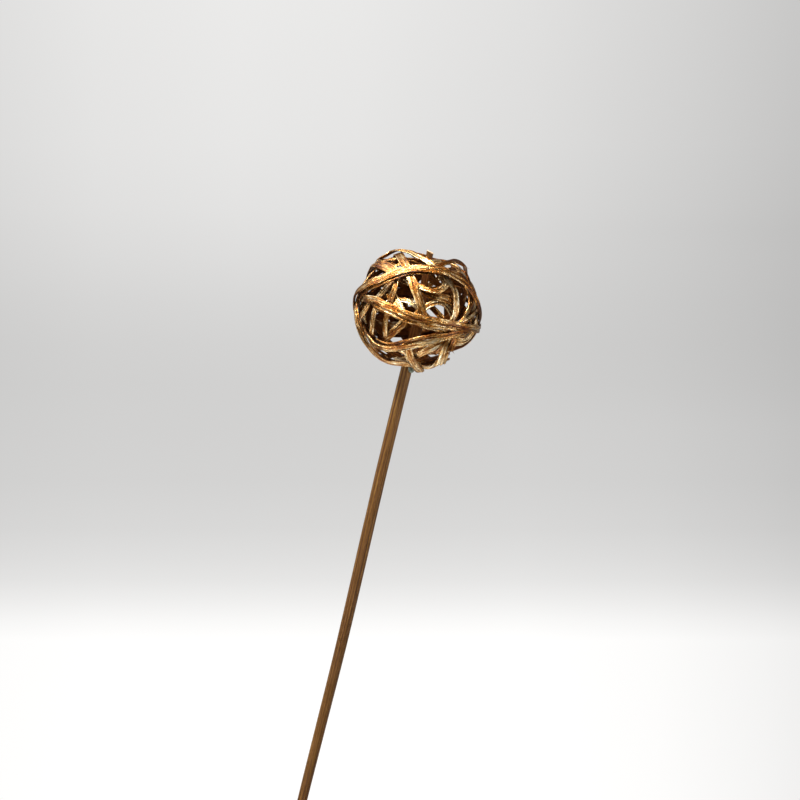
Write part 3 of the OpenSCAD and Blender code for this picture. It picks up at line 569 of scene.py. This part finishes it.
def stem_surface(rng):
    """The stem with its straight foot, slow widening, grain and whittled, slanted tip."""
    base = STEM_LENGTH - WHITTLE_LENGTH
    z = np.concatenate([[0.0, 0.12, 0.3], np.arange(1.0, base, 0.8),
                        np.arange(base, STEM_LENGTH + 0.01, 0.25)])
    k = 56
    turn = np.linspace(0, 2 * math.pi, k, endpoint=False)
    r = np.interp(z, [0, FOOT_LENGTH, FULL_AT], [FOOT_D / 2, FOOT_D / 2, STEM_D / 2])
    r = r * np.interp(z, [0, 0.3], [0.86, 1.0])
    y = turn * STEM_D / 2
    zz, yy = np.meshgrid(z, y, indexing="ij")
    grain = fibre_field(rng, zz, yy, 16.0, 0.24, 0.016)
    grain += fibre_field(rng, zz, yy, 5.0, 0.45, 0.008)
    # The grain closes on itself round the stem
    close = np.clip((y - (y[-1] - 0.8)) / 0.8, 0, 1)[None, :]
    grain = grain * (1 - close) + grain[:, :1] * close
    lines = np.zeros_like(grain)
    for start in (*FRONT_SHADE_GROOVES, *rng.uniform(0, 2 * math.pi, 6)):
        place = start + wander(rng, z, 45.0, 0.05)
        depth = np.clip(0.055 + wander(rng, z, 22.0, 0.035), 0, 0.1)
        gap = np.angle(np.exp(1j * (turn[None, :] - place[:, None]))) * STEM_D / 2 / LINE_WIDTH
        lines -= depth[:, None] * np.exp(-gap * gap)
    rr = r[:, None] + grain + lines
    x = rr * np.cos(turn)[None, :]
    yq = rr * np.sin(turn)[None, :]
    lean = np.clip((z - base) / WHITTLE_LENGTH, 0, 1) * TIP_SHIFT
    x = x - lean[:, None]
    h = z - base
    cut = np.interp(h, [FLAT_START, FLAT_FULL, WHITTLE_LENGTH],
                    [STEM_D, FLAT_X, FLAT_X - TIP_SHIFT])
    cut = cut[:, None] + 0.05 * np.sin(yq * 2.1 + 1.0) + 0.03 * np.sin(zz * 1.7)
    facet = x > cut
    x = np.minimum(x, cut)
    top = STEM_LENGTH - TIP_SLANT * np.clip((x + STEM_D / 2 + TIP_SHIFT) / 1.8, 0, 1)
    top -= TIP_NOD * np.clip(-yq / STEM_D * 2, 0, 1)
    zq = np.minimum(zz, np.where(h[:, None] > 0, top, zz))
    calm = np.clip(z / 12.0, 0, 1) * np.clip((base - z) / 25.0, 0, 1)
    bow = wander(rng, z, 48.0, 0.11) * calm
    sag = wander(rng, z, 42.0, 0.11) * calm
    pts = np.stack([x + bow[:, None], yq + sag[:, None], zq], -1)
    verts = pts.reshape(-1, 3)
    idx = np.arange(len(verts)).reshape(len(z), k)
    faces = [(idx[i, j], idx[i, (j + 1) % k], idx[i + 1, (j + 1) % k], idx[i + 1, j])
             for i in range(len(z) - 1) for j in range(k)]
    low, high = len(verts), len(verts) + 1
    verts = np.concatenate([verts, [[0, 0, 0.0]], [pts[-1].mean(0)]])
    faces += [(idx[0, (j + 1) % k], idx[0, j], low) for j in range(k)]
    faces += [(idx[-1, j], idx[-1, (j + 1) % k], high) for j in range(k)]
    # The whittled flat's relief is set lower, so the material's painted groove shade darkens it
    relief = ((grain + lines) / 0.05) - 0.6 * facet
    relief = np.concatenate([relief.ravel(), [0, 0]])
    uv = np.concatenate([np.stack([zz, yy], -1).reshape(-1, 2), [[0, 0], [0, 0]]])
    fresh = np.zeros(pts.shape[:2])
    fresh[(zz > top - 0.02) & (h[:, None] > 8)] = 1.0
    return verts * MM, faces, uv, relief, np.concatenate([fresh.ravel(), [0, 1]])


def glue_surface(rng, low, high):
    """A lump of set glue that hugs the right side of the stem inside the given box."""
    centre, half = (np.array(low) + np.array(high)) / 2, (np.array(high) - np.array(low)) / 2
    n, k = 22, 32
    lat = np.linspace(-math.pi / 2, math.pi / 2, n)
    lon = np.linspace(0, 2 * math.pi, k, endpoint=False)
    la, lo = np.meshgrid(lat, lon, indexing="ij")
    d = np.stack([np.cos(la) * np.cos(lo), np.cos(la) * np.sin(lo), np.sin(la)], -1)
    lumps = sum(a * np.sin(d @ rng.normal(0, 3.0, 3) + rng.uniform(0, 6)) for a in
                (0.05, 0.04, 0.03, 0.02))
    pts = centre + d * half * (0.93 + lumps)[..., None]
    pts[..., 2] -= half[2] * 0.25 * np.clip(d[..., 0], 0, 1) ** 2
    idx = np.arange(n * k).reshape(n, k)
    faces = [(idx[i, j], idx[i, (j + 1) % k], idx[i + 1, (j + 1) % k], idx[i + 1, j])
             for i in range(n - 1) for j in range(k)]
    uv = np.stack([la, lo], -1).reshape(-1, 2)
    return pts.reshape(-1, 3), faces, uv


# --- Materials


class Nodes:
    """A short way to write a shader's nodes."""

    def __init__(self, name):
        self.material = bpy.data.materials.new(name)
        self.material.use_nodes = True
        self.tree = self.material.node_tree
        self.shader = self.tree.nodes["Principled BSDF"]

    def add(self, kind, inputs=None, **settings):
        """A node with its settings, and its inputs set or linked."""
        node = self.tree.nodes.new(kind)
        for key, value in settings.items():
            setattr(node, key, value)
        for key, value in (inputs or {}).items():
            self.put(node, key, value)
        return node

    def put(self, node, key, value):
        """Link a socket to an input, or set the input to a plain value."""
        if isinstance(value, bpy.types.NodeSocket):
            self.tree.links.new(value, node.inputs[key])
        else:
            node.inputs[key].default_value = value

    def math(self, operation, a, b=0.0, clamp=False):
        """One sum, product or the like of two values."""
        return self.add("ShaderNodeMath", {0: a, 1: b}, operation=operation,
                        use_clamp=clamp).outputs[0]

    def span(self, value, low, high, to_low=0.0, to_high=1.0):
        """The value moved from one range to another, held at the ends."""
        return self.add("ShaderNodeMapRange", {"Value": value, "From Min": low, "From Max": high,
                                               "To Min": to_low, "To Max": to_high}).outputs[0]

    def noise(self, vector, scale, detail=4.0, roughness=0.55):
        """Cloudy noise from 0 to 1."""
        return self.add("ShaderNodeTexNoise", {"Vector": vector, "Scale": scale, "Detail": detail,
                                               "Roughness": roughness}).outputs["Fac"]

    def ramp(self, value, stops):
        """Colours along a value from 0 to 1."""
        node = self.add("ShaderNodeValToRGB", {"Fac": value})
        while len(node.color_ramp.elements) < len(stops):
            node.color_ramp.elements.new(0.5)
        for spot, (at, colour) in zip(node.color_ramp.elements, stops):
            spot.position, spot.color = at, (*colour, 1)
        return node.outputs["Color"]

    def mix(self, factor, a, b):
        """Colour a at factor 0, colour b at factor 1."""
        node = self.add("ShaderNodeMix", data_type="RGBA")
        self.put(node, 0, factor)
        for key, value in ((6, a), (7, b)):
            self.put(node, key, value if isinstance(value, bpy.types.NodeSocket)
                     else (*value, 1))
        return node.outputs[2]

    def attribute(self, name):
        """The value that make_object() stored for each point under this name."""
        return self.add("ShaderNodeAttribute", attribute_name=name,
                        attribute_type="GEOMETRY").outputs["Fac"]

    def grain(self, along, across, tone):
        """Grain coordinates: stretched along the fibres and different on each strip."""
        uv = self.add("ShaderNodeUVMap", uv_map="grain").outputs["UV"]
        uv = self.add("ShaderNodeVectorMath", {0: uv, 1: (along, across, 0)},
                      operation="MULTIPLY").outputs[0]
        away = self.add("ShaderNodeCombineXYZ", {"Z": self.math("MULTIPLY", tone, 53.0)})
        return self.add("ShaderNodeVectorMath", {0: uv, 1: away.outputs[0]},
                        operation="ADD").outputs[0]


# Bare vine on the inside of the ball, darkened as painted shade of the ball's inside
INSIDE_BARE_SHADED = [(0.0, (0.022, 0.0045, 0.0004)), (0.5, (0.070, 0.018, 0.002)),
          (1.0, (0.25, 0.088, 0.012))]


def gilded(name, stops, groove_shade_colour, bare, metal, rough, wear, coat, even):
    """Metallic gold paint over straight wood fibres, with painted shade in the grooves and worn on
    the ridges.

    The side that faces into the ball was never reached by the paint, apart from some overspray, and
    its bare wood is darkened as painted shade of the ball's inside.
    Even paint, at 1, has shorter streaks and weaker patches than uneven paint, at 0.
    """
    g = Nodes(name)
    tone, relief, inner = g.attribute("tone"), g.attribute("relief"), g.attribute("inner")
    longer = 1 - 0.85 * even
    streaks = g.noise(g.grain(0.16 * longer, 2.1, tone), 1.0, 5.0, 0.66)
    lines = g.noise(g.grain(0.45 * longer, 6.5, tone), 1.0, 3.0, 0.6)
    where = g.add("ShaderNodeTexCoord").outputs["Object"]
    patches = g.noise(where, 230.0, 3.0, 0.6)
    specks = g.noise(where, 1500.0, 2.0, 0.5)

    # Paint: colour by streaks, fine lines and patches, then painted shade in the grooves and the
    # worn ridges
    value = g.math("ADD", g.math("MULTIPLY", streaks, 0.55), g.math("MULTIPLY", lines, 0.4))
    value = g.math("ADD", value, g.span(patches, 0, 1, 0.15 * even, 0.35 - 0.15 * even))
    value = g.math("ADD", value, g.span(tone, 0, 1, -0.045, 0.06))
    # The ramp's cream top is painted highlight and its near-black bottom painted shade, strewn along
    # the streaks
    colour = g.ramp(g.span(value, 0.51, 0.80), stops)
    # Painted shade: the grooves, and on the stem its whittled flat, are darkened towards the groove
    # shade colour
    groove = g.math("SUBTRACT", 1.0, g.span(relief, -1.7, -0.2, 0.0, 1.0))
    groove = g.math("MULTIPLY", groove, g.span(streaks, 0.35, 0.6, 1.0, 0.55))
    colour = g.mix(groove, colour, groove_shade_colour)
    worn = g.math("MULTIPLY", g.span(patches, 0.53, 0.66), g.span(lines, 0.48, 0.6), clamp=True)
    worn = g.math("MULTIPLY", worn, wear, clamp=True)
    colour = g.mix(worn, colour, bare)

    # Bare wood and painted shade on the inner side, with a little overspray
    spray = g.span(g.math("ADD", patches, g.math("MULTIPLY", streaks, 0.5)), 0.86, 0.98)
    bare_and_shaded = g.math("SUBTRACT", g.span(inner, 0.2, 0.75), g.math("MULTIPLY", spray, 0.7),
                       clamp=True)
    colour = g.mix(bare_and_shaded, colour, g.ramp(g.span(value, 0.46, 0.84), INSIDE_BARE_SHADED))
    g.put(g.shader, "Base Color", colour)

    # The paint is metal, less so where it is worn or missing, and rougher there
    hidden = g.math("MAXIMUM", g.math("MULTIPLY", worn, 0.4), g.math("MULTIPLY", bare_and_shaded, 0.3))
    g.put(g.shader, "Metallic", g.math("MULTIPLY", g.math("SUBTRACT", 1.0, hidden), metal))
    uneven = g.math("ADD", g.span(specks, 0.3, 0.7, -0.06, 0.06),
                    g.span(lines, 0.3, 0.7, 0.09, -0.08))
    uneven = g.math("ADD", uneven, g.math("MULTIPLY", hidden, 0.25))
    g.put(g.shader, "Roughness", g.math("ADD", uneven, rough, clamp=True))
    g.put(g.shader, "Specular IOR Level", g.span(bare_and_shaded, 0.0, 1.0, 0.5, 0.1))
    g.put(g.shader, "Coat Weight", g.span(bare_and_shaded, 0.0, 1.0, coat, 0.0))
    g.shader.inputs["Coat Roughness"].default_value = 0.25

    height = g.math("ADD", g.math("MULTIPLY", streaks, 0.8), g.math("MULTIPLY", lines, 0.7))
    height = g.math("ADD", height, g.math("MULTIPLY", specks, 0.25))
    bump = g.add("ShaderNodeBump", {"Height": height, "Strength": 0.9, "Distance": 0.00026})
    g.put(g.shader, "Normal", bump.outputs[0])
    return g.material


# The vine's palest stop is painted highlight and its darkest stops are painted shade
vine_gold = gilded(
    "gilded_vine",
    [(0.0, (0.07, 0.015, 0.0010)), (0.28, (0.180, 0.050, 0.0035)), (0.52, (0.34, 0.148, 0.025)),
     (0.75, (0.77, 0.53, 0.235)), (1.0, (1.0, 0.93, 0.71))],
    groove_shade_colour=(0.025, 0.005, 0.0003), bare=(0.11, 0.038, 0.009), metal=0.93, rough=0.28, wear=0.8,
    coat=0.15, even=0.0)
stem_gold = gilded(
    "gilded_stem",
    [(0.0, (0.028, 0.009, 0.0008)), (0.35, (0.075, 0.028, 0.0035)), (0.7, (0.14, 0.062, 0.009)),
     (1.0, (0.26, 0.135, 0.028))],
    groove_shade_colour=(0.045, 0.009, 0.0006), bare=(0.08, 0.030, 0.003), metal=0.6, rough=0.40, wear=0.1,
    coat=0.0, even=1.0)


def cut_wood():
    """Fresh pale wood on the stem's slanted cut, thinly over-sprayed."""
    g = Nodes("cut_wood")
    where = g.add("ShaderNodeTexCoord").outputs["Object"]
    pores = g.noise(where, 2600.0, 3.0, 0.6)
    cloud = g.noise(where, 700.0, 3.0, 0.6)
    value = g.math("ADD", g.math("MULTIPLY", pores, 0.6), g.math("MULTIPLY", cloud, 0.4))
    g.put(g.shader, "Base Color", g.ramp(g.span(value, 0.35, 0.65), [
        (0.0, (0.30, 0.17, 0.07)), (0.5, (0.50, 0.33, 0.18)), (1.0, (0.66, 0.50, 0.33))]))
    g.shader.inputs["Roughness"].default_value = 0.62
    bump = g.add("ShaderNodeBump", {"Height": pores, "Strength": 0.5, "Distance": 0.00008})
    g.put(g.shader, "Normal", bump.outputs[0])
    return g.material


def set_glue():
    """Cloudy set glue with a smooth wet-looking skin."""
    g = Nodes("set_glue")
    where = g.add("ShaderNodeTexCoord").outputs["Object"]
    cloud = g.noise(where, 900.0, 4.0, 0.6)
    bubbles = g.noise(where, 3200.0, 2.0, 0.5)
    g.put(g.shader, "Base Color", g.ramp(g.span(cloud, 0.35, 0.65), [
        (0.0, (0.035, 0.05, 0.036)), (1.0, (0.11, 0.13, 0.095))]))
    g.put(g.shader, "Roughness", g.span(bubbles, 0.3, 0.7, 0.16, 0.36))
    g.shader.inputs["Subsurface Weight"].default_value = 0.3
    g.shader.inputs["Subsurface Radius"].default_value = (0.002, 0.002, 0.0014)
    bump = g.add("ShaderNodeBump", {"Height": cloud, "Strength": 0.4, "Distance": 0.0001})
    g.put(g.shader, "Normal", bump.outputs[0])
    return g.material


# --- The pieces

# Strips whose last end is torn open, and how far
TORN = {"bottom_fan": 1.0, "bottom_frayed": 0.9, "stem_cover": 0.45, "lower_second": 0.4}
TORN_SPLINTERS = 3
SPLINTER_EVERY = 22
# Back strips left out of the painted shade on the inner side, where they catch light; their inner
# side also caught the paint
LIT_WITHIN = ("back_diagonal", "back_slant", "back_crest")
# Inside the ball the stem darkens as painted shade between these depths, and never fully
FADE_FROM, FADE_OVER, FADE_MOST = 0.95, 0.25, 0.65


def splinters(rng, s, line, width, torn):
    """Fibres that stand off the edges of a strip, and off its last end where that is torn."""
    side, out = frames(line)
    along = unit(np.gradient(line[:, :3], axis=0))
    parts = []
    for _ in range(int(s[-1] / SPLINTER_EVERY) + 1):
        i = int(rng.integers(2, len(s) - 2))
        hand = rng.choice([-1.0, 1.0])
        root = line[i, :3] + side[i] * hand * width * 0.46
        way = 1.0 if rng.random() < 0.5 else -1.0
        parts.append(splinter(rng, root, unit(along[i] * way + side[i] * hand * 0.12),
                              side[i] * hand, out[i], rng.uniform(0.5, 1.4),
                              rng.uniform(0.1, 0.2)))
    for _ in range(TORN_SPLINTERS if torn else 0):
        a = rng.uniform(-0.45, 0.45)
        root = line[-1, :3] + side[-1] * a * width - along[-1] * 0.5
        parts.append(splinter(rng, root, unit(along[-1] + side[-1] * a * 0.5),
                              side[-1] * np.sign(a), out[-1], rng.uniform(0.5, 0.9),
                              rng.uniform(0.3, 0.5)))
    return parts


def add_strip(number, name, width, s, line):
    """One strip of the winding, along its eased line."""
    rng = np.random.default_rng([RNG_SEED, number])
    parts = [strip_surface(rng, line, width, TORN.get(name, CLEAN_END))]
    parts += splinters(rng, s, line, width, name in TORN)
    verts, faces, uv, relief, inner = join(parts)
    if name in LIT_WITHIN:
        inner = inner * 0.0
    marks = {"relief": relief, "inner": inner, "tone": np.full(len(verts), rng.random())}
    piece = make_object("vine_" + name, to_frame(verts), faces, uv, marks, vine_gold)
    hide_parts("strip_" + name)
    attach(piece, "root")


def add_stem(rng):
    """The stem, with fresh wood on its slanted cut and painted shade inside the ball."""
    verts, faces, uv, relief, fresh = stem_surface(rng)
    centre = np.array([-BALL_OFFSET, 0, BALL_Z]) * MM
    depth = np.linalg.norm(verts - centre, axis=1) / (BALL_R * MM)
    # Painted shade: the stem takes the inner side's dark colour deeper inside the ball
    inner = np.clip((FADE_FROM - depth) / FADE_OVER, 0, FADE_MOST)
    marks = {"relief": relief, "inner": inner, "tone": np.full(len(verts), 0.5)}
    stem = make_object("stick", verts, faces, uv, marks, stem_gold)
    stem.data.materials.append(cut_wood())
    for face in stem.data.polygons:
        if min(fresh[v] for v in face.vertices) > 0.5:
            face.material_index = 1
    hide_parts("stem")
    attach(stem, "root")


def add_glue(rng):
    """The lump of glue, inside the box of its CAD piece."""
    glue_low, glue_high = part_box("glue_bead")
    verts, faces, uv = glue_surface(rng, glue_low, glue_high)
    glue = make_object("glue_lump", verts, faces, uv, {}, set_glue())
    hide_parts("glue_bead")
    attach(glue, "root")


paths = [resample(smooth_line(stations(text)), SETTLE_STEP) for _, _, text in STRIPS]
shifts = settle([line for _, line in paths], [width for _, width, _ in STRIPS])
for number, ((name, width, _), (s, line), shift) in enumerate(zip(STRIPS, paths, shifts)):
    eased = line.copy()
    eased[:, :3] += unit(line[:, :3]) * shift[:, None]
    add_strip(number, name, width, s, eased)

stem_rng = np.random.default_rng([RNG_SEED, STEM_SEED])
add_stem(stem_rng)
add_glue(stem_rng)

# --- Camera: level, at the photograph's side of the ball, rolled so that the stem leans

RIGHT = Vector((math.cos(TILT), 0, math.sin(TILT)))
UP = Vector((-math.sin(TILT), 0, math.cos(TILT)))
NEARER = Vector((0, -1, 0))
BALL = Vector((-BALL_OFFSET, 0, BALL_Z)) * MM
DISTANCE = 3.0
# The side of the square that the picture shows at the ball, and its middle from the ball's
FRAME_SIDE = 0.2094
AIM_RIGHT, AIM_UP = -0.00458, -0.02343
SENSOR = 36


def add_camera():
    """A camera far away with a long lens, as the photograph shows almost no perspective."""
    data = bpy.data.cameras.new("camera")
    data.sensor_width = SENSOR
    data.lens = SENSOR * DISTANCE / FRAME_SIDE
    data.clip_start = 0.01
    camera = bpy.data.objects.new("camera", data)
    turn = Matrix((RIGHT, UP, NEARER)).transposed().to_4x4()
    aim = BALL + RIGHT * AIM_RIGHT + UP * AIM_UP
    camera.matrix_world = Matrix.Translation(aim + NEARER * DISTANCE) @ turn
    bpy.context.scene.collection.objects.link(camera)
    bpy.context.scene.camera = camera


add_camera()

# --- Light, backdrop and floor


def soft_light(name, where, size, power, colour=(1, 1, 1)):
    """A square soft box aimed at the ball, from an offset to the right, nearer and up."""
    data = bpy.data.lights.new(name, "AREA")
    data.shape, data.size, data.energy, data.color = "SQUARE", size, power, colour
    light = bpy.data.objects.new(name, data)
    offset = RIGHT * where[0] + NEARER * where[1] + UP * where[2]
    light.location = BALL + offset
    light.rotation_euler = (-offset).to_track_quat("-Z", "Y").to_euler()
    bpy.context.scene.collection.objects.link(light)


soft_light("key_top", (-0.14, 0.22, 0.42), 0.22, 10.5, (1.0, 0.97, 0.92))
soft_light("top_left", (-0.30, -0.06, 0.36), 0.3, 2.2, (1.0, 0.98, 0.95))
soft_light("side_left", (-0.44, 0.20, 0.02), 0.18, 1.0)
soft_light("side_right", (0.42, 0.16, -0.06), 0.22, 1.5)

world = bpy.data.worlds.new("studio")
bpy.context.scene.world = world
world.use_nodes = True
tree = world.node_tree
tree.nodes.clear()


def world_node(kind, inputs=None, **settings):
    """A node of the world, with its inputs set or linked."""
    node = tree.nodes.new(kind)
    for key, value in settings.items():
        setattr(node, key, value)
    for key, value in (inputs or {}).items():
        if isinstance(value, bpy.types.NodeSocket):
            tree.links.new(value, node.inputs[key])
        else:
            node.inputs[key].default_value = value
    return node


def world_dot(axis):
    """How far the direction that is looked in points along an axis, from -1 to 1."""
    way = world_node("ShaderNodeTexCoord").outputs["Generated"]
    return world_node("ShaderNodeVectorMath", {0: way, 1: tuple(axis)},
                      operation="DOT_PRODUCT").outputs["Value"]


def grey_ramp(value, low, high, stops, tint=(1.0, 1.0, 1.0)):
    """Tinted greys along a value between low and high."""
    unit_value = world_node("ShaderNodeMapRange", {"Value": value, "From Min": low,
                                                   "From Max": high}).outputs[0]
    node = world_node("ShaderNodeValToRGB", {"Fac": unit_value})
    node.color_ramp.interpolation = "EASE" if len(stops) < 4 else "LINEAR"
    while len(node.color_ramp.elements) < len(stops):
        node.color_ramp.elements.new(0.5)
    for spot, (at, grey) in zip(node.color_ramp.elements, stops):
        spot.position, spot.color = at, (*(grey * c for c in tint), 1)
    return node.outputs["Color"]


def world_mix(factor, a, b, blend="MIX"):
    """Two colours of the world, mixed or blended."""
    return world_node("ShaderNodeMix", {0: factor, 6: a, 7: b}, data_type="RGBA",
                      blend_type=blend).outputs[2]


# What the camera sees: a backdrop that brightens upwards and turns into the white table below,
# and that is darker at the picture's sides, most of all at the upper right
SPREAD = FRAME_SIDE / 2 / DISTANCE
backdrop = grey_ramp(world_dot(UP), -SPREAD, SPREAD, [
    (0.0, 1.03), (0.20, 1.02), (0.225, 0.95), (0.25, 0.865), (0.275, 0.79), (0.30, 0.745),
    (0.34, 0.69), (0.40, 0.652), (0.46, 0.64), (0.52, 0.638), (0.57, 0.652), (0.62, 0.682),
    (0.68, 0.73), (0.74, 0.77), (0.82, 0.80), (0.91, 0.815), (1.0, 0.83)],
    tint=(1.0, 0.994, 0.985))
low_side = grey_ramp(world_dot(RIGHT), -SPREAD, SPREAD, [
    (0.0, 0.975), (0.12, 1.0), (0.65, 1.01), (0.82, 0.965), (0.95, 0.895), (1.0, 0.86)])
high_side = grey_ramp(world_dot(RIGHT), -SPREAD, SPREAD, [
    (0.0, 0.905), (0.12, 0.965), (0.3, 1.0), (0.45, 0.985), (0.67, 0.905), (0.85, 0.80),
    (1.0, 0.70)])
height = world_node("ShaderNodeMapRange", {"Value": world_dot(UP), "From Min": -0.07 * SPREAD,
                                           "From Max": 0.43 * SPREAD}).outputs[0]
shade = world_mix(1.0, backdrop, world_mix(height, low_side, high_side), "MULTIPLY")
# What the object itself sees: a dim warm room with the pale backdrop's glow behind
room = grey_ramp(world_dot(UP), -1.0, 1.0, [(0.0, 0.12), (0.40, 0.05), (0.6, 0.02), (1.0, 0.05)],
                 tint=(1.0, 0.78, 0.50))
glow = grey_ramp(world_dot((0, 1, 0)), -0.1, 1.0, [(0.0, 0.0), (1.0, 0.30)],
                 tint=(1.0, 0.93, 0.82))
room = world_mix(1.0, room, glow, "ADD")
seen = world_node("ShaderNodeLightPath").outputs["Is Camera Ray"]
light_out = world_node("ShaderNodeBackground", {"Color": world_mix(seen, room, shade),
                                                "Strength": 1.0})
world_node("ShaderNodeOutputWorld", {"Surface": light_out.outputs[0]})

bpy.context.scene.view_settings.view_transform = "Standard"

FLOOR_R = 0.2
FLOOR_SIDES = 96


def add_floor():
    """A pale round floor that fades out at its rim."""
    mesh = bpy.data.meshes.new("floor")
    turns = np.linspace(0, 2 * math.pi, FLOOR_SIDES, endpoint=False)
    rim = [(FLOOR_R * math.cos(a), FLOOR_R * math.sin(a), 0.0) for a in turns]
    mesh.from_pydata(rim, [], [tuple(range(FLOOR_SIDES))])
    g = Nodes("pale_floor")
    where = g.add("ShaderNodeTexCoord").outputs["Object"]
    dust = g.noise(where, 90.0, 3.0)
    g.put(g.shader, "Base Color", g.ramp(dust, [(0.0, (0.86, 0.86, 0.86)),
                                                (1.0, (0.90, 0.90, 0.895))]))
    g.shader.inputs["Roughness"].default_value = 0.8
    reach = g.add("ShaderNodeVectorMath", {0: where}, operation="LENGTH").outputs["Value"]
    g.put(g.shader, "Alpha", g.span(reach, FLOOR_R * 0.45, FLOOR_R * 0.98, 1.0, 0.0))
    mesh.materials.append(g.material)
    floor = bpy.data.objects.new("floor", mesh)
    bpy.context.scene.collection.objects.link(floor)
    return floor


floor = add_floor()
